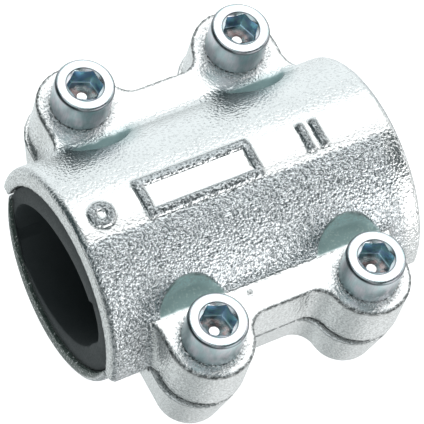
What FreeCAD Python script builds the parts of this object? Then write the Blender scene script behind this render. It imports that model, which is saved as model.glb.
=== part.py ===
"""Two-part bolted pipe repair clamp for a 33.7 mm (one inch) steel pipe.

Two cast shell halves are drawn together by four M8 cap screws and squeeze a
split rubber sleeve onto the pipe.  Origin: centre of the pipe bore, halfway
along the clamp.  X runs along the pipe, +Y to the rear pair of screws and +Z
up through the screw heads.  Millimetres throughout.
"""
import FreeCAD, Part
import math
import os
from FreeCAD import Vector

# ---- driving dimensions ------------------------------------------------------
PIPE_RADIUS = 16.85          # 33.7 mm outside diameter steel pipe
CLAMP_LENGTH = 75.6

SCREW_SPACING_X = 38.0       # along the pipe
SCREW_SPACING_Y = 60.5       # across the pipe
SEAT_Z = 13.9                # flat top of the upper lugs, under the screw heads

UPPER_OUTER_R = 26.0
UPPER_AXIS_Z = -1.8          # centre of the outside of the upper barrel
UPPER_INNER_R = 23.0
UPPER_CAVITY_Z = -3.9        # centre of its inside: the wall is thick at the crown
UPPER_RIM_Z = -1.1           # lowest edge of the upper skirts
UPPER_LUG_Z = 1.4            # underside of the upper lugs

LOWER_OUTER_R = 23.6
LOWER_AXIS_Z = 0.8
LOWER_INNER_R = 23.0
LOWER_CAVITY_Z = 4.7
LOWER_RIM_Z = -1.4
LOWER_LUG_Z = 1.0            # top of the lower lugs, 0.4 mm below the upper ones
LOWER_LUG_BOTTOM_Z = -14.0

LUG_RADIUS = 9.5
WEB_EDGE_Y = 29.1            # outer edge of the web that ties each pair of lugs
WEB_FILLET = 4.5             # plan radius where that edge runs into a lug
CREASE_FILLET = 3.0          # where the flange meets the barrel
LOWER_LUG_RADIUS = 9.7       # at the parting face
LOWER_DRAFT = 2.8            # how much narrower the lower flange is at its underside
LOWER_SHIFT_X = -0.8         # the lower flange stands a little towards the open end
LOWER_EDGE_FILLET = 4.4      # rounded underside of the lower flange
END_FILLET = 1.4             # outer rim of each barrel end
SCALLOP_RADIUS = 8.2         # spanner clearance cut into the barrel at each head
SCALLOP_INSET = 5.0          # its axis is nearer the middle than the screw by this

SCREW_DIAMETER = 8.0
SCREW_LENGTH = 25.0          # under the head
SCREW_TIP_CHAMFER = 0.9
HEAD_DIAMETER = 13.0
HEAD_HEIGHT = 8.0
HEAD_EDGE_FILLET = 0.7
HEAD_SEAT_GAP = 0.05
SOCKET_ACROSS_FLATS = 6.9
SOCKET_DEPTH = 4.4
SOCKET_CONE_DEPTH = 0.8      # drill point below the hexagon
SOCKET_MOUTH_R = 4.15        # countersink at the mouth of the hexagon
UPPER_HOLE_R = 4.5           # clearance hole through the upper lug
LOWER_HOLE_R = 4.05          # tapped hole in the lower lug, thread not cut

SLEEVE_LENGTH = 74.0
SLEEVE_GAP = 0.15            # rubber to the upper half
LAP_RADIUS = 18.6            # how deep the inner layer of the lap joint is
LAP_START_DEG = 128.0        # from +Y towards +Z
LAP_END_DEG = 157.0

MARK_HEIGHT = 0.4            # raised blank markings on the crown
MARK_LINE = 1.1
PLATE_CENTRE_X = -8.0
PLATE_LENGTH = 27.0
PLATE_WIDTH = 8.6
RING_CENTRE_X = -31.0
RING_RADIUS = 2.6
BARS_CENTRE_X = 19.5
BAR_LENGTH = 6.4
BAR_SPACING = 3.2
CAST_DOT_R = 0.65            # ejector mark on the front web
CAST_DOT_X = -6.4
CAST_DOT_Y = -23.9
CAST_DOT_HEIGHT = 0.2

AXIS_X = Vector(1, 0, 0)
AXIS_Z = Vector(0, 0, 1)


def screw_points():
    """Name and plan position of each screw."""
    half_x = SCREW_SPACING_X / 2
    half_y = SCREW_SPACING_Y / 2
    return [
        ("cap_screw_front_left", -half_x, -half_y),
        ("cap_screw_front_right", half_x, -half_y),
        ("cap_screw_rear_left", -half_x, half_y),
        ("cap_screw_rear_right", half_x, half_y),
    ]


def pipe_cylinder(radius, axis_z, length):
    """Solid cylinder along the pipe, centred on x = 0."""
    start = Vector(-length / 2, 0, axis_z)
    return Part.makeCylinder(radius, length, start, AXIS_X)


def layer(z_low, z_high):
    """Everything between two heights."""
    size = 200.0
    corner = Vector(-size / 2, -size / 2, z_low)
    return Part.makeBox(size, size, z_high - z_low, corner)


def upright(radius, x, y, z_low, z_high):
    """Vertical cylinder."""
    return Part.makeCylinder(radius, z_high - z_low, Vector(x, y, z_low), AXIS_Z)


def flange_side(sign, radius, edge_y):
    """Edges of one side of the flange outline, from +X round to -X."""
    cx = SCREW_SPACING_X / 2
    cy = SCREW_SPACING_Y / 2
    fillet_y = edge_y + WEB_FILLET
    fillet_x = cx - math.sqrt((radius + WEB_FILLET) ** 2 - (fillet_y - cy) ** 2)
    share = radius / (radius + WEB_FILLET)
    touch_x = cx + (fillet_x - cx) * share
    touch_y = cy + (fillet_y - cy) * share
    reach = math.hypot(fillet_x - touch_x, fillet_y - edge_y)
    mid_dx = (touch_x - fillet_x) / 2
    mid_dy = (touch_y - fillet_y - WEB_FILLET) / 2
    mid_scale = WEB_FILLET / math.hypot(mid_dx, mid_dy)

    def at(x, y):
        return Vector(x, sign * y, 0)

    right = [
        Part.makeLine(at(cx + radius, 0), at(cx + radius, cy)),
        Part.Arc(at(cx + radius, cy), at(cx, cy + radius), at(touch_x, touch_y)).toShape(),
        Part.Arc(
            at(touch_x, touch_y),
            at(fillet_x + mid_dx * mid_scale, fillet_y + mid_dy * mid_scale),
            at(fillet_x, edge_y),
        ).toShape(),
    ]
    left = [edge.mirror(Vector(0, 0, 0), AXIS_X) for edge in right]
    bridge = Part.makeLine(at(fillet_x, edge_y), at(-fillet_x, edge_y))
    return right + [bridge] + left


def flange_outline(radius, edge_y, z):
    """Plan outline of a flange: four lugs joined in pairs by waisted webs."""
    edges = flange_side(1, radius, edge_y) + flange_side(-1, radius, edge_y)
    wire = Part.Wire(Part.__sortEdges__(edges))
    wire.translate(AXIS_Z * z)
    return wire


def upper_flange():
    outline = flange_outline(LUG_RADIUS, WEB_EDGE_Y, UPPER_LUG_Z)
    return Part.Face(outline).extrude(AXIS_Z * (SEAT_Z - UPPER_LUG_Z))


def lower_flange():
    """Drafted flange with a well rounded underside."""
    top = flange_outline(LOWER_LUG_RADIUS, WEB_EDGE_Y, LOWER_LUG_Z)
    bottom = flange_outline(
        LOWER_LUG_RADIUS - LOWER_DRAFT, WEB_EDGE_Y - LOWER_DRAFT, LOWER_LUG_BOTTOM_Z
    )
    block = Part.makeLoft([bottom, top], True, True)
    underside = edges_where(block, lambda p: near(p.z, LOWER_LUG_BOTTOM_Z))
    block = block.makeFillet(LOWER_EDGE_FILLET, underside)
    block.translate(AXIS_X * LOWER_SHIFT_X)
    return block


def edges_where(shape, test):
    """Edges whose every sampled point passes the test."""
    chosen = []
    for edge in shape.Edges:
        points = edge.discretize(5)
        if all(test(point) for point in points):
            chosen.append(edge)
    return chosen


def near(value, target, slack=0.02):
    return abs(value - target) < slack


def on_barrel(point, radius, axis_z):
    return near(math.hypot(point.y, point.z - axis_z), radius)


def upper_blank():
    """Upper half before drilling: solid barrel, flange and the fillets between them."""
    barrel = pipe_cylinder(UPPER_OUTER_R, UPPER_AXIS_Z, CLAMP_LENGTH)
    barrel = barrel.common(layer(UPPER_RIM_Z, 60))
    rims = edges_where(
        barrel,
        lambda p: near(abs(p.x), CLAMP_LENGTH / 2) and on_barrel(p, UPPER_OUTER_R, UPPER_AXIS_Z),
    )
    barrel = barrel.makeFillet(END_FILLET, rims)
    blank = barrel.fuse(upper_flange()).removeSplitter()
    flange_end = SCREW_SPACING_X / 2 + LUG_RADIUS
    creases = edges_where(
        blank,
        lambda p: on_barrel(p, UPPER_OUTER_R, UPPER_AXIS_Z)
        and abs(p.x) < flange_end + 0.1
        and p.z > UPPER_LUG_Z - 0.1
        and p.z < SEAT_Z + 0.1
        and (near(p.z, SEAT_Z) or near(abs(p.x), flange_end)),
    )
    return blank.makeFillet(CREASE_FILLET, creases)


def crown_band(outline):
    """The part of a thin skin over the barrel crown that lies under a plan outline."""
    skin = pipe_cylinder(UPPER_OUTER_R + MARK_HEIGHT, UPPER_AXIS_Z, CLAMP_LENGTH)
    prism = outline.common(layer(UPPER_OUTER_R - 6, 60))
    return skin.common(prism)


def plan_box(x, y, length, width):
    return Part.makeBox(length, width, 60, Vector(x - length / 2, y - width / 2, 0))


def crown_marks():
    """Blank raised plate border, ring and two bars along the crown."""
    border = plan_box(PLATE_CENTRE_X, 0, PLATE_LENGTH, PLATE_WIDTH)
    border = border.cut(
        plan_box(PLATE_CENTRE_X, 0, PLATE_LENGTH - 2 * MARK_LINE, PLATE_WIDTH - 2 * MARK_LINE)
    )
    ring = upright(RING_RADIUS, RING_CENTRE_X, 0, 0, 60)
    ring = ring.cut(upright(RING_RADIUS - MARK_LINE, RING_CENTRE_X, 0, 0, 60))
    outlines = [border, ring]
    for side in (-0.5, 0.5):
        x = BARS_CENTRE_X + side * BAR_SPACING
        outlines.append(plan_box(x, 0, MARK_LINE, BAR_LENGTH))
    return [crown_band(outline) for outline in outlines]


def make_upper_shell():
    shell = upper_blank()
    for mark in crown_marks():
        shell = shell.fuse(mark)
    dot = upright(CAST_DOT_R, CAST_DOT_X, CAST_DOT_Y, SEAT_Z - 1, SEAT_Z + CAST_DOT_HEIGHT)
    shell = shell.fuse(dot)
    shell = shell.cut(pipe_cylinder(UPPER_INNER_R, UPPER_CAVITY_Z, CLAMP_LENGTH + 2))
    for _, x, y in screw_points():
        inset = math.copysign(SCALLOP_INSET, y)
        shell = shell.cut(upright(SCALLOP_RADIUS, x, y - inset, SEAT_Z, 40))
        shell = shell.cut(upright(UPPER_HOLE_R, x, y, -20, 40))
    return shell.removeSplitter()


def make_lower_shell():
    barrel = pipe_cylinder(LOWER_OUTER_R, LOWER_AXIS_Z, CLAMP_LENGTH)
    barrel = barrel.common(layer(-60, LOWER_RIM_Z))
    rims = edges_where(
        barrel,
        lambda p: near(abs(p.x), CLAMP_LENGTH / 2) and on_barrel(p, LOWER_OUTER_R, LOWER_AXIS_Z),
    )
    barrel = barrel.makeFillet(END_FILLET, rims)
    block = lower_flange()
    skirt_room = pipe_cylinder(UPPER_OUTER_R + 0.3, UPPER_AXIS_Z, CLAMP_LENGTH + 2)
    block = block.cut(skirt_room.common(layer(LOWER_RIM_Z, 60)))
    shell = barrel.fuse(block)
    shell = shell.cut(pipe_cylinder(LOWER_INNER_R, LOWER_CAVITY_Z, CLAMP_LENGTH + 2))
    for _, x, y in screw_points():
        shell = shell.cut(upright(LOWER_HOLE_R, x, y, -30, 20))
    return shell.removeSplitter()


def make_sleeve():
    """Rubber sleeve: fills the space between the two halves and the pipe."""
    split_z = (UPPER_RIM_Z + LOWER_RIM_Z) / 2
    top = pipe_cylinder(UPPER_INNER_R - SLEEVE_GAP, UPPER_CAVITY_Z, SLEEVE_LENGTH)
    top = top.common(layer(split_z, 60))
    bottom = pipe_cylinder(LOWER_INNER_R, LOWER_CAVITY_Z, SLEEVE_LENGTH)
    bottom = bottom.common(layer(-60, split_z))
    sleeve = top.fuse(bottom).removeSplitter()
    sleeve = sleeve.cut(pipe_cylinder(PIPE_RADIUS, 0, SLEEVE_LENGTH + 2))
    return sleeve.cut(lap_pocket())


def lap_pocket():
    """Wedge missing from the inner layer, where the sleeve's two ends overlap."""
    length = SLEEVE_LENGTH + 2
    pocket = Part.makeCylinder(
        LAP_RADIUS, length, Vector(0, 0, 0), AXIS_Z, LAP_END_DEG - LAP_START_DEG
    )
    pocket.rotate(Vector(0, 0, 0), AXIS_Z, LAP_START_DEG)
    pocket.rotate(Vector(0, 0, 0), Vector(1, 1, 1), 120)
    pocket.translate(AXIS_X * (-length / 2))
    return pocket


def hexagon_prism(across_flats, z_low, z_high):
    corner_r = across_flats / math.sqrt(3)
    corners = []
    for index in range(7):
        angle = math.radians(60 * index)
        corners.append(Vector(corner_r * math.cos(angle), corner_r * math.sin(angle), z_low))
    return Part.Face(Part.makePolygon(corners)).extrude(AXIS_Z * (z_high - z_low))


def make_cap_screw(x, y):
    """M8 hexagon socket cap screw standing on the lug seat."""
    seat = SEAT_Z + HEAD_SEAT_GAP
    top = seat + HEAD_HEIGHT
    head = upright(HEAD_DIAMETER / 2, 0, 0, seat, top)
    rim = edges_where(head, lambda p: near(p.z, top) and near(math.hypot(p.x, p.y), HEAD_DIAMETER / 2))
    head = head.makeFillet(HEAD_EDGE_FILLET, rim)
    shank = upright(SCREW_DIAMETER / 2, 0, 0, seat - SCREW_LENGTH, seat + 1)
    tip = edges_where(shank, lambda p: near(p.z, seat - SCREW_LENGTH))
    shank = shank.makeChamfer(SCREW_TIP_CHAMFER, tip)
    screw = head.fuse(shank).removeSplitter()
    floor = top - SOCKET_DEPTH
    screw = screw.cut(hexagon_prism(SOCKET_ACROSS_FLATS, floor, top + 1))
    drill_r = SOCKET_ACROSS_FLATS / 2
    point = Part.makeCone(0, drill_r, SOCKET_CONE_DEPTH, Vector(0, 0, floor - SOCKET_CONE_DEPTH))
    screw = screw.cut(point)
    mouth = Part.makeCone(SOCKET_MOUTH_R - 1, SOCKET_MOUTH_R, 0.6, Vector(0, 0, top - 0.6))
    screw = screw.cut(mouth)
    screw.translate(Vector(x, y, 0))
    return screw


def save(shape, name):
    assert shape.isValid(), name
    assert len(shape.Solids) == 1, name
    shape.Solids[0].exportStep("parts/" + name + ".step")
    box = shape.BoundBox
    print(name, "volume %.0f mm3" % shape.Volume, "x %.1f y %.1f z %.1f to %.1f" % (
        box.XLength, box.YLength, box.ZMin, box.ZMax))


os.makedirs("parts", exist_ok=True)
save(make_upper_shell(), "upper_shell")
save(make_lower_shell(), "lower_shell")
save(make_sleeve(), "rubber_sleeve")
for screw_name, screw_x, screw_y in screw_points():
    save(make_cap_screw(screw_x, screw_y), screw_name)
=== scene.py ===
"""Looks of the bolted pipe repair clamp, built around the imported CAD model.

The two castings are refined from the CAD shapes, with cast skin, rough edges and smooth
spanner pockets.  The screws and the slack rubber sleeve are new pieces that replace their
CAD solids.  Lengths are written in millimetres and multiplied by MM.
"""
import math

import bmesh
import bpy
import numpy as np
from mathutils import Matrix, Vector, noise


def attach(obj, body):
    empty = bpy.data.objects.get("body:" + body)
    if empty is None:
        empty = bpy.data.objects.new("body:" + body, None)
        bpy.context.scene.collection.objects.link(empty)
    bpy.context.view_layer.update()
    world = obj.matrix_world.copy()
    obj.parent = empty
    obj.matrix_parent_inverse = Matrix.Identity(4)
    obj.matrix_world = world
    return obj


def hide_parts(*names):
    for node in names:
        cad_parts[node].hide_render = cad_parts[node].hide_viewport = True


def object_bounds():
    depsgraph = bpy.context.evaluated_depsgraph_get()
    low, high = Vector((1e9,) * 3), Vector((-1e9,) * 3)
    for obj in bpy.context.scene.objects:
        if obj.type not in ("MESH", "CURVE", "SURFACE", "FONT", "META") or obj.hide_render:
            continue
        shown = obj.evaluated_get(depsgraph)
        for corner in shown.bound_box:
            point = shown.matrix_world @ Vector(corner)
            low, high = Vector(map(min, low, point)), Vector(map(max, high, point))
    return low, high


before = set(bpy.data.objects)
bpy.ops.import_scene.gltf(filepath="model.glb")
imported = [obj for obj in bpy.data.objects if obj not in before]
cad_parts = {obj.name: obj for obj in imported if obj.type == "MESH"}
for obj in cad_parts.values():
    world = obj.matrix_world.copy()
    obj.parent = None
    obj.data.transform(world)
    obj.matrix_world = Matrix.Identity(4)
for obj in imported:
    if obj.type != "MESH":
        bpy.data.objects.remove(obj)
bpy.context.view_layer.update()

MM = 0.001

# ---- sizes shared with the CAD model, in mm ----
SCREW_X = 19.0
SCREW_Y = 30.25
SEAT_Z = 13.9
SCALLOP_R = 8.2
SCALLOP_Y = 25.25
UPPER_OUTER_R = 26.0
UPPER_AXIS_Z = -1.8
LOWER_OUTER_R = 23.6
LOWER_AXIS_Z = 0.8

# ---- direction that a flat of each socket faces, in degrees from +X ----
SCREW_ANGLES = {
    "cap_screw_front_left": 8.5,
    "cap_screw_front_right": 8.0,
    "cap_screw_rear_left": 8.0,
    "cap_screw_rear_right": 21.0,
}

# ---- camera: the directions of its view and its place, in the model's frame ----
VIEW_RIGHT = (0.86761, -0.46417, 0.17832)
VIEW_UP = (0.33286, 0.80857, 0.48520)
VIEW_BACK = (-0.36940, -0.36161, 0.85603)
CAMERA_MM = (-265.106, -258.753, 616.935)
LENS_MM = 283.73

# ---- the studio, as soft patches of light ----
# Each has a direction, the cosines to it at which the patch starts and is full, and a colour.
# The first one is the dim light that comes from everywhere.
WORLD_LOBES = (
    ((0.00, 0.00, 1.00), -2.00, -1.50, (0.050, 0.072, 0.076)),
    ((0.37, 0.80, 0.48), 0.60, 0.84, (0.49, 0.51, 0.51)),
    ((0.37, 0.35, 0.86), 0.91, 0.95, (1.25, 1.25, 1.25)),
    ((0.30, 1.00, -0.20), 0.30, 0.90, (0.52, 0.55, 0.56)),
    ((0.42, -0.88, 0.24), 0.86, 0.94, (2.20, 2.20, 2.20)),
    ((0.95, -0.10, 0.35), 0.88, 0.94, (1.10, 1.10, 1.10)),
    ((-0.35, -0.80, 0.45), 0.94, 0.98, (1.30, 1.30, 1.30)),
    ((-0.45, -0.10, 0.88), 0.88, 0.96, (0.75, 0.79, 0.80)),
    ((-0.08, -0.50, 0.86), 0.96, 0.99, (0.40, 0.41, 0.41)),
    ((-0.40, 0.30, -0.86), 0.88, 0.98, (0.26, 0.27, 0.27)),
    ((0.00, 0.00, -1.00), 0.00, 0.60, (0.52, 0.54, 0.54)),
    ((0.66, -0.55, -0.50), 0.40, 0.90, (0.44, 0.43, 0.43)),
)


# ---------------------------------------------------------------- mesh helpers

def piece_from(name, mesh, body, slot, *nodes):
    """Links a mesh as a piece that rides on a body and stands for CAD nodes."""
    obj = bpy.data.objects.new(name, mesh)
    bpy.context.collection.objects.link(obj)
    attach(obj, body)
    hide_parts(*nodes)
    return obj


def smooth_faces(mesh):
    mesh.polygons.foreach_set("use_smooth", np.ones(len(mesh.polygons), bool))


def positions(mesh):
    co = np.empty(len(mesh.vertices) * 3, np.float32)
    mesh.vertices.foreach_get("co", co)
    return co.reshape(-1, 3).astype(float)


def normals(mesh):
    found = np.empty(len(mesh.vertices) * 3, np.float32)
    mesh.vertices.foreach_get("normal", found)
    return found.reshape(-1, 3).astype(float)


def set_positions(mesh, co):
    mesh.vertices.foreach_set("co", co.astype(np.float32).ravel())
    mesh.update()


def store(mesh, name, values):
    """Keeps one number for each vertex, for the material to read."""
    layer = mesh.attributes.new(name, "FLOAT", "POINT")
    layer.data.foreach_set("value", values.astype(np.float32))


def neighbour_mean(mesh, values):
    """Average of each vertex's neighbours."""
    ends = np.empty(len(mesh.edges) * 2, np.int32)
    mesh.edges.foreach_get("vertices", ends)
    a, b = ends.reshape(-1, 2).T
    total = np.zeros_like(values)
    np.add.at(total, a, values[b])
    np.add.at(total, b, values[a])
    count = np.bincount(ends, minlength=len(values)).astype(float)
    return total / (count[:, None] if values.ndim == 2 else count)


CONVEXITY_STEPS = 3


def convexity(mesh):
    """How far each vertex stands out from its neighbours, in mm: over 0 on outer edges."""
    co = positions(mesh)
    out = np.einsum("ij,ij->i", co - neighbour_mean(mesh, co), normals(mesh)) / MM
    for _ in range(CONVEXITY_STEPS):
        out = 0.5 * (out + neighbour_mean(mesh, out))
    return out


def noise_at(co, size_mm, seed):
    """Smooth noise from -1 to 1 whose bumps are about size_mm across."""
    points = co / (size_mm * MM) + seed
    return np.array([noise.noise(Vector(p)) for p in points])


def rise(values, low, high):
    """0 below low, 1 above high, smooth between."""
    t = np.clip((values - low) / (high - low), 0, 1)
    return t * t * (3 - 2 * t)


def fall(values, low, high):
    """1 below low, 0 above high, smooth between."""
    return rise(-values, -high, -low)


def near(values, centre, inner, outer):
    """1 within inner of the centre, 0 farther than outer from it, smooth between."""
    return fall(np.abs(values - centre), inner, outer)


# ---------------------------------------------------------------- castings

CAST_VOXEL = 0.46
SOFTENING_STEPS = 1
CORNER_STEPS = 25
# How far across the barrel the painted shade of the pockets reaches, in front of the axis and behind it.
FRONT_POCKET_SHADE_REACH = 22.0
REAR_POCKET_SHADE_REACH = 20.6
CRUMB_RING_R = 6.6
FRONT_CRUST = (6.8, 8.3)
REAR_CRUST = (7.0, 9.2)
END_FACE_X = 37.0
CROWN_Z = 21.0
GRAIN_THINS_FROM_Y = (-6.0, -4.0)
GRAIN_THINS_FROM_X = (31.0, 35.5)
CONVEX_EDGE = (0.012, 0.034)
FAINT_EDGE = 0.25
GRAIN_LUMPS = 0.07
FLAT_LUMPS = 0.015
EDGE_BURRS = 0.14
RING_CRUMBS = 0.06
SKIN_INSET = 0.02
UPPER_SEED = 3.0
LOWER_SEED = 51.0


def remeshed(node):
    """An even mesh of a CAD node with its edges softened."""
    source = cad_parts[node]
    obj = bpy.data.objects.new("work", source.data.copy())
    bpy.context.collection.objects.link(obj)
    remesh = obj.modifiers.new("even", "REMESH")
    remesh.mode = "VOXEL"
    remesh.voxel_size = CAST_VOXEL * MM
    relax = obj.modifiers.new("soften", "SMOOTH")
    relax.factor = 0.5
    relax.iterations = SOFTENING_STEPS
    shaped = obj.evaluated_get(bpy.context.evaluated_depsgraph_get())
    mesh = bpy.data.meshes.new_from_object(shaped)
    bpy.data.objects.remove(obj)
    mesh.materials.clear()
    smooth_faces(mesh)
    return mesh


def plan_distance(x, y, axis_x, axis_y):
    """Distance in plan to the nearest of the four axes at plus or minus axis_x and axis_y."""
    return np.hypot(np.abs(x) - axis_x, np.abs(y) - axis_y)


def round_inner_corner(mesh):
    """Runs the wall of each spanner pocket into its floor with a soft curve."""
    co = positions(mesh)
    x, y, z = co.T / MM
    share = fall(plan_distance(x, y, SCREW_X, SCALLOP_Y), SCALLOP_R - 0.1, SCALLOP_R + 0.2)
    share *= fall(z, SEAT_Z + 1.2, SEAT_Z + 2.6) * rise(z, SEAT_Z - 0.3, SEAT_Z - 0.1)
    share *= fall(np.abs(y), 20.0, 21.0)
    for _ in range(CORNER_STEPS):
        co += share[:, None] * (neighbour_mean(mesh, co) - co)
    set_positions(mesh, co)


class CastSurface:
    """What a casting's masks are worked out from, for each vertex: co as in the mesh, the rest in mm."""

    def __init__(self, mesh, axis_z, outer_r, seed):
        self.co = positions(mesh)
        self.normal = normals(mesh)
        self.x, self.y, self.z = self.co.T / MM
        self.across = np.abs(self.y)
        self.facing_up = self.normal[:, 2]
        self.raised = np.hypot(self.y, self.z - axis_z) - outer_r
        self.from_screw = plan_distance(self.x, self.y, SCREW_X, SCREW_Y)
        self.from_pocket = plan_distance(self.x, self.y, SCREW_X, SCALLOP_Y)
        self.in_front = fall(self.y, -1.0, 1.0)
        self.wander = 0.35 * noise_at(self.co, 1.6, seed + 30)

    def front_or_rear(self, front, rear):
        """One value in front of the barrel's axis and another behind it."""
        return rear + (front - rear) * self.in_front


def pocket_shade_masks(at):
    """Painted teal shade in the spanner pockets, and a smear of it beside the rear ones."""
    reach = at.front_or_rear(FRONT_POCKET_SHADE_REACH, REAR_POCKET_SHADE_REACH)
    pocket_shade = fall(at.from_pocket, SCALLOP_R + 0.15, SCALLOP_R + 0.35)
    pocket_shade *= fall(at.across - at.wander, reach - 0.2, reach + 0.3)
    pocket_shade *= rise(at.z, SEAT_Z - 0.4, SEAT_Z - 0.2)
    # A smear of painted shade on the barrel beside the rear pockets.
    pocket_side_shade = at.front_or_rear(0, fall(at.from_pocket + at.wander, SCALLOP_R - 1.0, SCALLOP_R + 4.0))
    pocket_side_shade *= fall(at.across, 20.5, 23.0)
    return {"pocket_shade": pocket_shade, "pocket_floor_shade": pocket_shade * rise(at.facing_up, 0.3, 0.9), "pocket_side_shade": pocket_side_shade}


def seat_masks(at):
    """The flat lug tops, with crumbly plating round the screw heads and a crumbly ring of painted
    contact shadow at each head's foot.
    """
    seat = rise(at.facing_up, 0.9, 0.97) * near(at.z, SEAT_Z, 0.3, 0.5)
    ring = seat * near(at.from_screw, CRUMB_RING_R, 0.2, 0.6)
    inner = at.front_or_rear(FRONT_CRUST[0], REAR_CRUST[0])
    outer = at.front_or_rear(FRONT_CRUST[1], REAR_CRUST[1])
    crusty = seat * fall(at.from_screw + 1.5 * at.wander, inner, outer)
    return {"seat": seat, "ring": ring, "crusty": crusty}


def barrel_masks(at, pocket_shade):
    """The raised marks, the end faces, and the orange peel, thinned from the crown back, most on the
    crown, and at the barrel ends.
    """
    on_crown = rise(at.facing_up, 0.3, 0.6) * fall(at.across, 5.0, 7.0)
    on_crown *= rise(at.z, CROWN_Z - 1.0, CROWN_Z)
    mark = on_crown * rise(at.raised, 0.05, 0.25)
    grain_thinned = rise(at.y, *GRAIN_THINS_FROM_Y) * (0.68 + 0.28 * on_crown * fall(at.across, 4.5, 6.0))
    grain_thinned = np.maximum(grain_thinned, 0.6 * rise(at.x, *GRAIN_THINS_FROM_X))
    on_barrel = rise(at.raised, -1.2, -0.6) * fall(at.raised, 0.8, 1.5)
    grain = on_barrel * (1 - pocket_shade) * (1 - grain_thinned * (1 - mark))
    end_face = rise(np.abs(at.x), END_FACE_X - 0.3, END_FACE_X) * fall(at.raised, -1.4, -1.0)
    return {"grain": grain, "mark": mark, "end_face": end_face}


def upper_edge_share(at):
    """Burrs are strong round the top of the lugs, less at the barrel ends, faint at the parting."""
    share = FAINT_EDGE + (1 - FAINT_EDGE) * rise(at.z, 5.0, 8.0)
    return share * (1 - 0.70 * rise(np.abs(at.x), 34.0, 36.0))


def lower_edge_share(at):
    """Burrs are faint all over the lower casting."""
    return np.full(len(at.co), FAINT_EDGE)


def cast_skin(mesh, axis_z, outer_r, edge_share, seed):
    """Gives a casting its uneven skin, rough edges and the masks its material reads."""
    at = CastSurface(mesh, axis_z, outer_r, seed)
    masks = pocket_shade_masks(at) | seat_masks(at)
    masks |= barrel_masks(at, masks["pocket_shade"])
    masks["edge"] = rise(convexity(mesh), *CONVEX_EDGE) * edge_share(at)
    outside_pockets = 1 - masks["pocket_shade"]
    flat = (1 - masks["grain"]) * outside_pockets * (1 - masks.pop("seat") * outside_pockets)
    lumps = 0.6 * noise_at(at.co, 1.5, seed) + 0.4 * noise_at(at.co, 4.0, seed + 9)
    burr = noise_at(at.co, 0.9, seed + 20)
    height = (GRAIN_LUMPS * masks["grain"] + FLAT_LUMPS * flat) * lumps - SKIN_INSET
    height += EDGE_BURRS * masks["edge"] * (burr - 0.5) * outside_pockets
    height += RING_CRUMBS * masks["ring"] * (burr - 0.3)
    set_positions(mesh, at.co + at.normal * (height * MM)[:, None])
    for name, values in masks.items():
        store(mesh, name, values)


def make_castings():
    upper = remeshed("upper_shell")
    round_inner_corner(upper)
    cast_skin(upper, UPPER_AXIS_Z, UPPER_OUTER_R, upper_edge_share, UPPER_SEED)
    upper_piece = piece_from("upper_casting", upper, "upper_half", "zinc_cast_upper", "upper_shell")
    lower = remeshed("lower_shell")
    cast_skin(lower, LOWER_AXIS_Z, LOWER_OUTER_R, lower_edge_share, LOWER_SEED)
    lower_piece = piece_from("lower_casting", lower, "lower_half", "zinc_cast_lower", "lower_shell")
    return upper_piece, lower_piece


# ---------------------------------------------------------------- screws

SCREW_SIDES = 72
HEAD_R = 6.5
HEAD_H = 8.0
HEAD_SEAT_GAP = 0.05
SOCKET_FLATS = 6.9
SOCKET_DEPTH = 4.8
MOUTH_R = 4.15
MOUTH_DEPTH = 0.42
DRILL_POINT = 0.4
MOUTH_LINE = (0.06, 0.20)
PIT_R = 1.05
PIT_MOUTH_R = 1.15
FLOOR_DISH = 0.03
RIM_R = 0.75
FOOT_R = 0.3
SHANK_R = 4.0
SHANK_FILLET = 0.35
SHANK_LENGTH = 25.0
THREAD_DEPTH = 0.65
THREAD_PITCH = 1.25
THREAD_GAP = 0.03
THREAD_RUN_OUT = 1.5
RINGS_PER_PITCH = 6
TIP_LENGTH = 1.0
TIP_R = 3.1
TIP_SLOPE = 0.85
RIDGE_SLOPE = 1.15
RIDGE_CREST = 0.85
HEAD_BASE_Z = SEAT_Z + HEAD_SEAT_GAP
HEAD_TOP_Z = HEAD_BASE_Z + HEAD_H
SOCKET_FLOOR_Z = HEAD_TOP_Z - SOCKET_DEPTH


def hexagon_radius(theta):
    """Distance from the middle of the socket to its hexagon wall in each direction."""
    from_flat = (theta + math.pi / 6) % (math.pi / 3) - math.pi / 6
    return SOCKET_FLATS / 2 / np.cos(from_flat)


def quarter_turn(steps):
    """Angles from 0 to 90 degrees."""
    return [math.radians(90 * step / steps) for step in range(steps + 1)]


def socket_rings(theta):
    """From the drill point in the socket floor up the hexagon walls to the round mouth."""
    hexagon = hexagon_radius(theta)
    pit_z = SOCKET_FLOOR_Z - DRILL_POINT
    rings = [
        (np.full_like(theta, PIT_R), pit_z),
        (np.full_like(theta, PIT_MOUTH_R), pit_z + FLOOR_DISH),
        (hexagon * 0.94, SOCKET_FLOOR_Z - FLOOR_DISH),
    ]
    for height in (0.0, 0.12, SOCKET_DEPTH / 2, SOCKET_DEPTH - MOUTH_DEPTH - 0.04):
        rings.append((hexagon, SOCKET_FLOOR_Z + height))
    for share in np.linspace(0, 1, 8):
        chamfer = SOCKET_FLATS / 2 + (MOUTH_R - SOCKET_FLATS / 2) * share
        rings.append((np.maximum(hexagon, chamfer), HEAD_TOP_Z - MOUTH_DEPTH * (1 - share)))
    return rings


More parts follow.
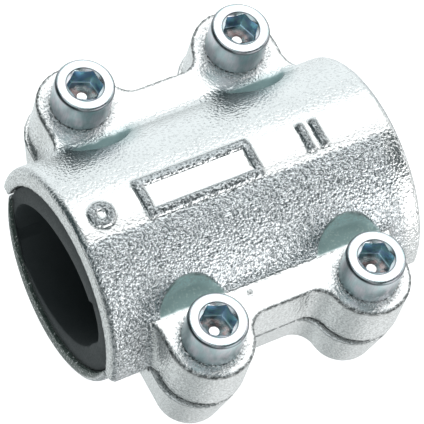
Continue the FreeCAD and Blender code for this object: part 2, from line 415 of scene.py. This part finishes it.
def head_profile():
    """The outside of the head as (radius, height), from the mouth's edge to the shank."""
    flat_top = (MOUTH_R + MOUTH_LINE[0], MOUTH_R + MOUTH_LINE[1], 4.9, 5.6)
    profile = [(radius, HEAD_TOP_Z) for radius in flat_top]
    for angle in quarter_turn(8):
        radius = HEAD_R - RIM_R + RIM_R * math.sin(angle)
        profile.append((radius, HEAD_TOP_Z - RIM_R * (1 - math.cos(angle))))
    for height in (6.4, 4.0, 1.0, 0.4):
        profile.append((HEAD_R, HEAD_BASE_Z + height))
    for angle in quarter_turn(3):
        radius = HEAD_R - FOOT_R + FOOT_R * math.cos(angle)
        profile.append((radius, HEAD_BASE_Z + FOOT_R * (1 - math.sin(angle))))
    profile.append((SHANK_R + SHANK_FILLET, HEAD_BASE_Z))
    profile.append((SHANK_R - 0.02, HEAD_BASE_Z - 0.1))
    return profile


def thread_rings(theta):
    """Rings down the shank, each (radii, height), with a right-hand helical ridge."""
    rings = []
    steps = int(SHANK_LENGTH / (THREAD_PITCH / RINGS_PER_PITCH))
    for index in range(1, steps + 1):
        depth = SHANK_LENGTH * index / steps
        phase = (depth / THREAD_PITCH + theta / (2 * math.pi)) % 1.0
        ridge = np.clip(1 - np.abs(2 * phase - 1) * RIDGE_SLOPE, 0, RIDGE_CREST) / RIDGE_CREST
        run_out = min(1.0, depth / THREAD_RUN_OUT)
        radii = SHANK_R - THREAD_GAP - THREAD_DEPTH * run_out * (1 - ridge)
        left = SHANK_LENGTH - depth
        if left < TIP_LENGTH:
            radii = np.minimum(radii, TIP_R + TIP_SLOPE * left)
        rings.append((radii, HEAD_BASE_Z - depth))
    return rings


def screw_rings(theta):
    """The whole screw as a stack of rings, from the socket's drill point round to the tip."""
    head = [(np.full_like(theta, radius), height) for radius, height in head_profile()]
    return socket_rings(theta) + head + thread_rings(theta)


def ring_mesh(name, rings, theta, centre):
    """Skins a stack of rings and closes both ends with a point in the middle."""
    bm = bmesh.new()
    loops = []
    for radii, height in rings:
        loop = []
        for radius, angle in zip(radii, theta):
            x = centre[0] + radius * math.cos(angle)
            y = centre[1] + radius * math.sin(angle)
            loop.append(bm.verts.new((x * MM, y * MM, height * MM)))
        loops.append(loop)
    sides = len(theta)
    for upper, lower in zip(loops, loops[1:]):
        for i in range(sides):
            j = (i + 1) % sides
            bm.faces.new((upper[i], upper[j], lower[j], lower[i]))
    first = bm.verts.new((centre[0] * MM, centre[1] * MM, rings[0][1] * MM))
    last = bm.verts.new((centre[0] * MM, centre[1] * MM, rings[-1][1] * MM))
    for i in range(sides):
        j = (i + 1) % sides
        bm.faces.new((first, loops[0][j], loops[0][i]))
        bm.faces.new((last, loops[-1][i], loops[-1][j]))
    bmesh.ops.recalc_face_normals(bm, faces=bm.faces)
    mesh = bpy.data.meshes.new(name)
    bm.to_mesh(mesh)
    bm.free()
    return mesh


def mark_screw(mesh, centre):
    """Stores the masks that the plating of a screw reads."""
    x, y, z = positions(mesh).T / MM
    reach = np.hypot(x - centre[0], y - centre[1])
    mouth_z = HEAD_TOP_Z - MOUTH_DEPTH
    socket = fall(reach, MOUTH_R - 0.05, MOUTH_R + 0.05)
    socket *= rise(z, SEAT_Z + 2.0, SEAT_Z + 2.5) * fall(z, mouth_z - 0.03, mouth_z)
    corner = rise(reach, SOCKET_FLATS / 2 - 0.25, SOCKET_FLATS / 2 - 0.05)
    corner *= near(z, SOCKET_FLOOR_Z, 0.01, 0.04)
    mouth = near(reach, MOUTH_R, *MOUTH_LINE) * rise(z, HEAD_TOP_Z - 0.1, HEAD_TOP_Z - 0.05)
    rim = rise(reach, HEAD_R - 0.5, HEAD_R - 0.3) * rise(z, HEAD_TOP_Z - 0.8, HEAD_TOP_Z - 0.5)
    foot = rise(reach, HEAD_R - 0.5, HEAD_R - 0.2) * fall(z, SEAT_Z + 0.5, SEAT_Z + 5.0)
    store(mesh, "socket", socket)
    store(mesh, "glint", socket * corner)
    # painted shade lines round the socket mouth and the head's rim
    store(mesh, "shade_line", np.maximum(0.8 * mouth, 0.75 * rim))
    # painted highlight on the drill point
    store(mesh, "pip_highlight", fall(reach, PIT_R, PIT_MOUTH_R))
    store(mesh, "foot", foot)


def make_screws():
    pieces = []
    theta = np.arange(SCREW_SIDES) * 2 * math.pi / SCREW_SIDES
    rings = screw_rings(theta)
    for node, turn in SCREW_ANGLES.items():
        side_x = -1 if "left" in node else 1
        side_y = -1 if "front" in node else 1
        centre = (side_x * SCREW_X, side_y * SCREW_Y)
        mesh = ring_mesh(node, rings, theta + math.radians(turn), centre)
        smooth_faces(mesh)
        mesh.set_sharp_from_angle(angle=math.radians(40))
        mark_screw(mesh, centre)
        body = node.replace("cap_screw", "screw")
        pieces.append(piece_from(body + "_detailed", mesh, body, "zinc_screw", node))
    return pieces


# ---------------------------------------------------------------- rubber sleeve

SLEEVE_HALF = 37.0
SLEEVE_EDGE = 0.5
SLEEVE_EDGE_STEP = 0.15
SLEEVE_SIDES = 144
HOLE_CENTRE = (2.1, -1.9)
HOLE_TILT = 1.9
HOLE_HALF_WIDTH = 17.8
HOLE_HALF_HEIGHT = 13.3
LAP_START = math.radians(135)
LAP_END = math.radians(186)
LAP_FADE = math.radians(14)
LAP_DEPTH = 1.5
LAP_EDGE_DEGREES = (-0.3, -0.015, 0.015, 0.3)
# Each shell's cavity, less a small gap: its radius and the height of its centre.
UPPER_CAVITY = (22.8, -3.9)
LOWER_CAVITY = (22.95, 4.7)
CAVITY_SPLIT_Z = -1.25


def cavity_radius(angle):
    """Distance from the bore axis to just inside the shells in a direction."""
    c, s = math.cos(angle), math.sin(angle)
    reach = []
    for radius, centre_z in (UPPER_CAVITY, LOWER_CAVITY):
        along = centre_z * s
        reach.append(along + math.sqrt(along * along + radius * radius - centre_z * centre_z))
    return reach[0] if reach[0] * s > CAVITY_SPLIT_Z else reach[1]


def hole_point(angle, grow):
    """A point (y, z) on the slack oval hole, grown outwards by so many mm."""
    if LAP_START < angle < LAP_END:
        grow += LAP_DEPTH * min(1.0, (LAP_END - angle) / LAP_FADE)
    y = HOLE_CENTRE[0] + (HOLE_HALF_WIDTH + grow) * math.cos(angle)
    z = HOLE_CENTRE[1] + (HOLE_HALF_HEIGHT + grow) * math.sin(angle)
    return y, z - HOLE_TILT * math.cos(angle)


def outer_point(angle, shrink):
    """The sleeve's outside (y, z), in the direction of the hole point at the same angle."""
    y, z = hole_point(angle, 0)
    direction = math.atan2(z, y)
    radius = cavity_radius(direction) - shrink
    return radius * math.cos(direction), radius * math.sin(direction)


def sleeve_angles():
    """Even steps round the sleeve, with four close ones that keep the lap's step sharp."""
    even = [math.radians(360 / SLEEVE_SIDES * i) for i in range(SLEEVE_SIDES)]
    keep = [angle for angle in even if abs(angle - LAP_START) > math.radians(1.2)]
    return sorted(keep + [LAP_START + math.radians(step) for step in LAP_EDGE_DEGREES])


def sleeve_stations():
    """Places along the sleeve, each with how far its surface is drawn in to round the end."""
    end = [
        (-SLEEVE_HALF, SLEEVE_EDGE),
        (-SLEEVE_HALF + SLEEVE_EDGE_STEP, SLEEVE_EDGE_STEP),
        (-SLEEVE_HALF + SLEEVE_EDGE, 0.0),
    ]
    middle = [(x, 0.0) for x in np.linspace(-30, 30, 13)]
    return end + middle + [(-x, inset) for x, inset in reversed(end)]


def sleeve_loop(bm, x, points):
    return [bm.verts.new((x * MM, y * MM, z * MM)) for y, z in points]


def make_sleeve():
    """A slack rubber tube with a stepped lap joint and slightly rounded ends."""
    angles = sleeve_angles()
    bm = bmesh.new()
    outer, inner = [], []
    for x, inset in sleeve_stations():
        outer.append(sleeve_loop(bm, x, [outer_point(angle, inset) for angle in angles]))
        inner.append(sleeve_loop(bm, x, [hole_point(angle, inset) for angle in angles]))
    for i in range(len(angles)):
        j = (i + 1) % len(angles)
        for a, b in zip(outer, outer[1:]):
            bm.faces.new((a[i], a[j], b[j], b[i]))
        for a, b in zip(inner, inner[1:]):
            bm.faces.new((a[j], a[i], b[i], b[j]))
        bm.faces.new((outer[0][j], outer[0][i], inner[0][i], inner[0][j]))
        bm.faces.new((outer[-1][i], outer[-1][j], inner[-1][j], inner[-1][i]))
    bmesh.ops.recalc_face_normals(bm, faces=bm.faces)
    mesh = bpy.data.meshes.new("sleeve")
    bm.to_mesh(mesh)
    bm.free()
    smooth_faces(mesh)
    mesh.set_sharp_from_angle(angle=math.radians(35))
    return piece_from("slack_rubber_sleeve", mesh, "lower_half", "black_rubber", "rubber_sleeve")


# ---------------------------------------------------------------- materials

UPPER_BRIGHT = (0.84, 0.85, 0.85)
UPPER_DULL = (0.76, 0.77, 0.77)
LOWER_BRIGHT = (0.80, 0.81, 0.81)
LOWER_DULL = (0.72, 0.73, 0.73)
GRAIN_GREY = (0.46, 0.50, 0.53)
# Painted shade in the hollows of the orange peel.
PIT_SHADE = (0.16, 0.19, 0.20)
# Painted shade in the spanner pockets: teal on the walls, darker on the floors, with pale specks.
POCKET_WALL_SHADE = (0.50, 0.71, 0.70)
POCKET_FLOOR_SHADE = (0.31, 0.44, 0.43)
POCKET_SHADE_SPECK = (0.66, 0.76, 0.70)
# Painted shade smeared on the barrel beside the rear pockets.
POCKET_SIDE_SHADE = (0.27, 0.40, 0.41)
CRUST_WHITE = (0.95, 0.95, 0.95)
# Painted shade on burred edges and raised marks, and painted contact shadow round the screw heads.
ROUGH_SHADE = (0.07, 0.08, 0.08)
# Speckled painted shade on upright walls.
WALL_SHADE_SPECKLE = (0.30, 0.30, 0.29)
# Painted shade on the lower casting's end face: dark green.
END_SHADE_GREEN = (0.025, 0.050, 0.040)
LOWER_END_SHADE = 0.95
PEEL_DEPTH = 0.42

HEAD_BLUE = (0.64, 0.78, 0.80)
HEAD_VIOLET = (0.86, 0.83, 0.88)
STREAK_GREY = (0.52, 0.57, 0.59)
# Painted shade on the socket floor, with brown patches.
SOCKET_FLOOR_SHADE = (0.13, 0.17, 0.18)
SOCKET_FLOOR_BROWN = (0.19, 0.14, 0.14)
SOCKET_WALL_CYAN = (0.50, 0.84, 0.88)
SOCKET_WALL_BLUE = (0.46, 0.68, 0.90)
# Painted highlight on the drill point.
PIP_HIGHLIGHT = (0.88, 0.88, 0.88)
GLINT_WHITE = (0.95, 0.97, 0.97)
FOOT_SHADE = (0.24, 0.34, 0.36)
# Painted shade in thin lines round the socket mouth and the head's rim.
SHADE_LINE_DARK = (0.06, 0.07, 0.08)

RUBBER_BLACK = (0.017, 0.024, 0.026)
RUBBER_BLOOM = (0.031, 0.039, 0.041)
FLOOR_PALE = (0.80, 0.80, 0.80)
FLOOR_PALER = (0.84, 0.84, 0.84)


class Nodes:
    """Short calls for building one material's nodes."""

    def __init__(self, name):
        self.material = bpy.data.materials.new(name)
        self.material.use_nodes = True
        self.tree = self.material.node_tree
        self.shader = self.tree.nodes["Principled BSDF"]
        self.place = self.tree.nodes.new("ShaderNodeTexCoord").outputs["Object"]

    def feed(self, value, socket):
        """Gives a socket a number, a colour, or the output of another node."""
        if isinstance(value, tuple):
            socket.default_value = (*value, 1)
        elif isinstance(value, (int, float)):
            socket.default_value = value
        else:
            self.tree.links.new(value, socket)

    def shade(self, name, value):
        """Sets one of the shader's own inputs."""
        self.feed(value, self.shader.inputs[name])

    def mask(self, name):
        """A value stored on the mesh."""
        node = self.tree.nodes.new("ShaderNodeAttribute")
        node.attribute_name = name
        return node.outputs["Fac"]

    def upward(self):
        """How far the surface faces up: 1 on flat tops, 0 on upright walls."""
        node = self.tree.nodes.new("ShaderNodeSeparateXYZ")
        facing = self.tree.nodes.new("ShaderNodeTexCoord").outputs["Normal"]
        self.feed(facing, node.inputs[0])
        return node.outputs["Z"]

    def noise(self, size_mm, detail, roughness, squash=None):
        """Noise from 0 to 1 whose features are about size_mm across, drawn out by squash."""
        node = self.tree.nodes.new("ShaderNodeTexNoise")
        node.inputs["Scale"].default_value = 1 / (size_mm * MM)
        node.inputs["Detail"].default_value = detail
        node.inputs["Roughness"].default_value = roughness
        place = self.place
        if squash:
            stretch = self.tree.nodes.new("ShaderNodeMapping")
            stretch.inputs["Scale"].default_value = squash
            self.feed(place, stretch.inputs["Vector"])
            place = stretch.outputs["Vector"]
        self.feed(place, node.inputs["Vector"])
        return node.outputs["Fac"]

    def calculate(self, kind, *values):
        """Runs one operation through two or more values in turn."""
        total = values[0]
        for value in values[1:]:
            node = self.tree.nodes.new("ShaderNodeMath")
            node.operation = kind
            self.feed(total, node.inputs[0])
            self.feed(value, node.inputs[1])
            total = node.outputs[0]
        return total

    def product(self, *values):
        return self.calculate("MULTIPLY", *values)

    def sum(self, *values):
        return self.calculate("ADD", *values)

    def highest(self, *values):
        return self.calculate("MAXIMUM", *values)

    def rest(self, *values):
        """What is left of 1 after taking the values away."""
        return self.calculate("SUBTRACT", 1.0, *values)

    def between(self, value, low, high, out_low, out_high):
        """Goes smoothly from out_low to out_high as the value goes from low to high."""
        node = self.tree.nodes.new("ShaderNodeMapRange")
        node.interpolation_type = "SMOOTHSTEP"
        node.inputs["From Min"].default_value = low
        node.inputs["From Max"].default_value = high
        node.inputs["To Min"].default_value = out_low
        node.inputs["To Max"].default_value = out_high
        self.feed(value, node.inputs["Value"])
        return node.outputs["Result"]

    def mix(self, share, a, b):
        """Colour a, with a share of colour b over it."""
        node = self.tree.nodes.new("ShaderNodeMix")
        node.data_type = "RGBA"
        self.feed(share, node.inputs["Factor"])
        self.feed(a, node.inputs["A"])
        self.feed(b, node.inputs["B"])
        return node.outputs["Result"]

    def bump(self, height, depth_mm, after=None):
        node = self.tree.nodes.new("ShaderNodeBump")
        node.inputs["Strength"].default_value = 1.0
        node.inputs["Distance"].default_value = depth_mm * MM
        self.feed(height, node.inputs["Height"])
        if after is not None:
            self.feed(after, node.inputs["Normal"])
        return node.outputs["Normal"]


def pocket_shade_colour(n):
    """Dull teal painted shade in the spanner pockets, darker on their floors, with pale specks."""
    pocket_shade = n.mix(n.mask("pocket_floor_shade"), POCKET_WALL_SHADE, POCKET_FLOOR_SHADE)
    specks = n.between(n.noise(0.55, 3.0, 0.65), 0.54, 0.66, 0.0, 0.45)
    return n.mix(specks, pocket_shade, POCKET_SHADE_SPECK)


def rough_shade_share(n, pebble):
    """Where burrs, the crumbs round the screw seats and the raised marks look dark: painted shade along
    burred edges and in the marks' hollows, and painted contact shadow round each seat.
    """
    crumbs = n.between(n.noise(0.7, 3.0, 0.6), 0.40, 0.56, 0.0, 1.0)
    on_edge = n.product(n.mask("edge"), n.sum(n.product(crumbs, 0.6), 0.4))
    round_seat = n.product(n.highest(n.mask("ring"), n.product(n.mask("crusty"), 0.48)), crumbs)
    on_mark = n.product(n.mask("mark"), n.between(pebble, 0.35, 0.60, 0.62, 0.10))
    return n.highest(on_edge, n.product(round_seat, 0.60), on_mark)


def end_shade_share(n, strength):
    """Dark green painted shade on the end faces, broken by specks."""
    specks = n.between(n.noise(0.6, 3.0, 0.6), 0.57, 0.64, 1.0, 0.25)
    return n.product(n.mask("end_face"), specks, strength)


def plating_colour(n, bright, dull, pebble, rough, end_shade):
    """The casting's colour, from the clean plating up through each tone and each layer of painted shade
    that lies on it.
    """
    cloud = n.noise(9.0, 3.0, 0.5)
    grain = n.mask("grain")
    upright = n.between(n.upward(), 0.4, 0.8, 1.0, 0.0)
    pit_shade = n.between(pebble, 0.36, 0.46, 1.0, 0.0)
    shade_speckle = n.between(n.noise(0.42, 2.0, 0.6), 0.38, 0.62, 0.0, 0.36)
    pocket_side_shade = n.product(n.mask("pocket_side_shade"), n.between(cloud, 0.3, 0.7, 0.50, 0.72))
    base = n.mix(cloud, bright, dull)
    base = n.mix(n.between(grain, 0.35, 1.0, 0.0, 0.50), base, GRAIN_GREY)
    # painted shade in the hollows of the peel
    base = n.mix(n.product(pit_shade, grain, 0.54), base, PIT_SHADE)
    base = n.mix(n.mask("crusty"), base, CRUST_WHITE)
    # painted shade in the spanner pockets
    base = n.mix(n.mask("pocket_shade"), base, pocket_shade_colour(n))
    # painted shade on burrs and marks, and painted contact shadow round the seats
    base = n.mix(n.product(rough, 0.9), base, ROUGH_SHADE)
    # upright walls darkened with speckled painted shade
    base = n.mix(n.product(shade_speckle, upright), base, WALL_SHADE_SPECKLE)
    # painted shade beside the rear pockets
    base = n.mix(pocket_side_shade, base, POCKET_SIDE_SHADE)
    # dark green painted shade on the end faces
    return n.mix(end_shade, base, END_SHADE_GREEN)


def plating_normal(n, pebble, fine, rough):
    """Orange peel, strongest on the barrel and faint in the spanner pockets, with a fine skin over it.
    """
    wall = n.between(n.upward(), 0.4, 0.8, 0.34, 0.0)
    on_end = n.product(n.mask("end_face"), 0.5)
    on_seat = n.product(n.mask("crusty"), 0.40)
    share = n.sum(n.product(n.mask("grain"), 0.9), n.product(rough, 0.5), on_seat, on_end, 0.12, wall)
    share = n.product(share, n.rest(n.product(n.mask("pocket_shade"), 0.9)))
    peel = n.bump(n.product(pebble, share), PEEL_DEPTH)
    return n.bump(fine, 0.02, peel)


def cast_zinc(name, bright, dull, end_shade_strength):
    """Zinc plated casting: orange-peel barrel, smoother lugs, dark rough edges, with shade painted into
    its colour.
    """
    n = Nodes(name)
    pocket_shade = n.mask("pocket_shade")
    pebble = n.noise(0.58, 0.8, 0.5)
    fine = n.noise(0.25, 2.0, 0.5)
    # burrs together with painted shade and contact shadow
    rough = rough_shade_share(n, pebble)
    end_shade = end_shade_share(n, end_shade_strength)
    dullness = n.product(n.highest(pocket_shade, n.product(n.mask("crusty"), 0.25)), 0.35)
    n.shade("Base Color", plating_colour(n, bright, dull, pebble, rough, end_shade))
    n.shade("Metallic", n.rest(n.product(pocket_shade, 0.65), end_shade))
    n.shade("Specular IOR Level", n.between(end_shade, 0.0, 1.0, 0.5, 0.15))
    n.shade("Roughness", n.sum(n.between(fine, 0.3, 0.7, 0.17, 0.27), dullness))
    n.shade("Normal", plating_normal(n, pebble, fine, rough))
    return n.material


def socket_colour(n, on_floor):
    """Cyan and blue walls over a floor of painted shade, with a painted highlight on the drill point and
    a painted glint along the corner.
    """
    patch = n.between(n.noise(1.8, 2.0, 0.5), 0.42, 0.58, 0.0, 1.0)
    # painted shade on the socket floor
    floor = n.mix(patch, SOCKET_FLOOR_SHADE, SOCKET_FLOOR_BROWN)
    # painted highlight on the drill point
    floor = n.mix(n.mask("pip_highlight"), floor, PIP_HIGHLIGHT)
    facets = n.mix(patch, SOCKET_WALL_CYAN, SOCKET_WALL_BLUE)
    return n.mix(n.mask("glint"), n.mix(on_floor, facets, floor), GLINT_WHITE)


def screw_zinc():
    """Bright plated turned steel: fine upright brushing with faint blue and violet stains."""
    n = Nodes("screw_plating")
    streak = n.noise(0.22, 2.0, 0.5, (1.0, 1.0, 0.06))
    stain = n.noise(2.2, 3.0, 0.6, (1.0, 1.0, 0.5))
    fine = n.noise(0.18, 2.0, 0.5)
    in_socket = n.mask("socket")
    on_floor = n.between(n.upward(), 0.6, 0.9, 0.0, 1.0)
    on_foot = n.product(n.mask("foot"), n.between(stain, 0.35, 0.65, 0.75, 0.35))
    base = n.mix(n.between(stain, 0.35, 0.65, 0.0, 1.0), HEAD_BLUE, HEAD_VIOLET)
    base = n.mix(n.between(streak, 0.35, 0.7, 0.0, 0.30), base, STREAK_GREY)
    base = n.mix(in_socket, base, socket_colour(n, on_floor))
    base = n.mix(on_foot, base, FOOT_SHADE)
    # painted shade lines at the mouth and rim
    n.shade("Base Color", n.mix(n.mask("shade_line"), base, SHADE_LINE_DARK))
    n.shade("Metallic", 1.0)
    side = n.between(n.upward(), 0.4, 0.8, 0.14, 0.0)
    satin = n.sum(n.between(stain, 0.3, 0.7, 0.16, 0.26), side)
    n.shade("Roughness", n.product(satin, n.rest(n.product(in_socket, on_floor, 0.8))))
    n.shade("Normal", n.bump(streak, 0.02, n.bump(fine, 0.008)))
    return n.material


def sleeve_rubber():
    """Matt black moulded rubber with a greyer bloom in patches."""
    n = Nodes("sleeve_rubber")
    fine = n.noise(0.35, 3.0, 0.55)
    n.shade("Base Color", n.mix(n.noise(5.0, 4.0, 0.6), RUBBER_BLACK, RUBBER_BLOOM))
    n.shade("Roughness", n.between(fine, 0.3, 0.7, 0.55, 0.72))
    n.shade("Specular IOR Level", 0.35)
    n.shade("Normal", n.bump(fine, 0.03))
    return n.material


def floor_paint():
    """Pale paint, bright enough to look like a lit studio table."""
    n = Nodes("floor_paint")
    n.shade("Base Color", n.mix(n.noise(60.0, 2.0, 0.5), FLOOR_PALE, FLOOR_PALER))
    n.shade("Roughness", 0.9)
    n.shade("Specular IOR Level", 0.0)
    n.shade("Emission Color", (1, 1, 1))
    n.shade("Emission Strength", 0.80)
    return n.material


# ---------------------------------------------------------------- studio

SENSOR_MM = 36.0
NEAREST_SEEN = 10.0
FARTHEST_SEEN = 20000.0
FLOOR_SIZE = 6000.0
FLOOR_GAP = 0.2


def make_camera():
    data = bpy.data.cameras.new("camera")
    data.lens = LENS_MM
    data.sensor_width = SENSOR_MM
    data.clip_start = NEAREST_SEEN * MM
    data.clip_end = FARTHEST_SEEN * MM
    camera = bpy.data.objects.new("camera", data)
    turn = Matrix((VIEW_RIGHT, VIEW_UP, VIEW_BACK)).transposed().to_4x4()
    camera.matrix_world = Matrix.Translation(Vector(CAMERA_MM) * MM) @ turn
    bpy.context.collection.objects.link(camera)
    bpy.context.scene.camera = camera


def light_patch(tree, toward, direction, start, full, colour):
    """One soft patch of light in the world, round a direction."""
    facing = tree.nodes.new("ShaderNodeVectorMath")
    facing.operation = "DOT_PRODUCT"
    facing.inputs[1].default_value = Vector(direction).normalized()
    tree.links.new(toward, facing.inputs[0])
    share = tree.nodes.new("ShaderNodeMapRange")
    share.interpolation_type = "SMOOTHSTEP"
    share.inputs["From Min"].default_value = start
    share.inputs["From Max"].default_value = full
    tree.links.new(facing.outputs["Value"], share.inputs["Value"])
    lit = tree.nodes.new("ShaderNodeVectorMath")
    lit.operation = "SCALE"
    lit.inputs[0].default_value = colour
    tree.links.new(share.outputs["Result"], lit.inputs["Scale"])
    return lit.outputs[0]


def make_world():
    """A studio seen in the plating: a dim teal room with soft pale patches of light."""
    world = bpy.data.worlds.new("studio")
    world.use_nodes = True
    tree = world.node_tree
    toward = tree.nodes.new("ShaderNodeTexCoord").outputs["Generated"]
    patches = [light_patch(tree, toward, *lobe) for lobe in WORLD_LOBES]
    total = patches[0]
    for patch in patches[1:]:
        added = tree.nodes.new("ShaderNodeVectorMath")
        tree.links.new(total, added.inputs[0])
        tree.links.new(patch, added.inputs[1])
        total = added.outputs[0]
    tree.links.new(total, tree.nodes["Background"].inputs["Color"])
    bpy.context.scene.world = world


def make_floor():
    """A pale floor.  It stays out of the plating's reflections, which come from the studio."""
    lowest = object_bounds()[0].z
    below = (0, 0, lowest - FLOOR_GAP * MM)
    bpy.ops.mesh.primitive_plane_add(size=FLOOR_SIZE * MM, location=below)
    floor = bpy.context.object
    floor.name = "floor"
    floor.visible_glossy = False
    floor.data.materials.append(floor_paint())


def make_studio():
    make_world()
    make_floor()
    bpy.context.scene.view_settings.view_transform = "Standard"


# ---------------------------------------------------------------- assembly

upper_casting, lower_casting = make_castings()
upper_casting.data.materials.append(cast_zinc("upper_plating", UPPER_BRIGHT, UPPER_DULL, 0.0))
lower_casting.data.materials.append(cast_zinc("lower_plating", LOWER_BRIGHT, LOWER_DULL, LOWER_END_SHADE))
plating = screw_zinc()
for screw in make_screws():
    screw.data.materials.append(plating)
make_sleeve().data.materials.append(sleeve_rubber())
make_camera()
make_studio()
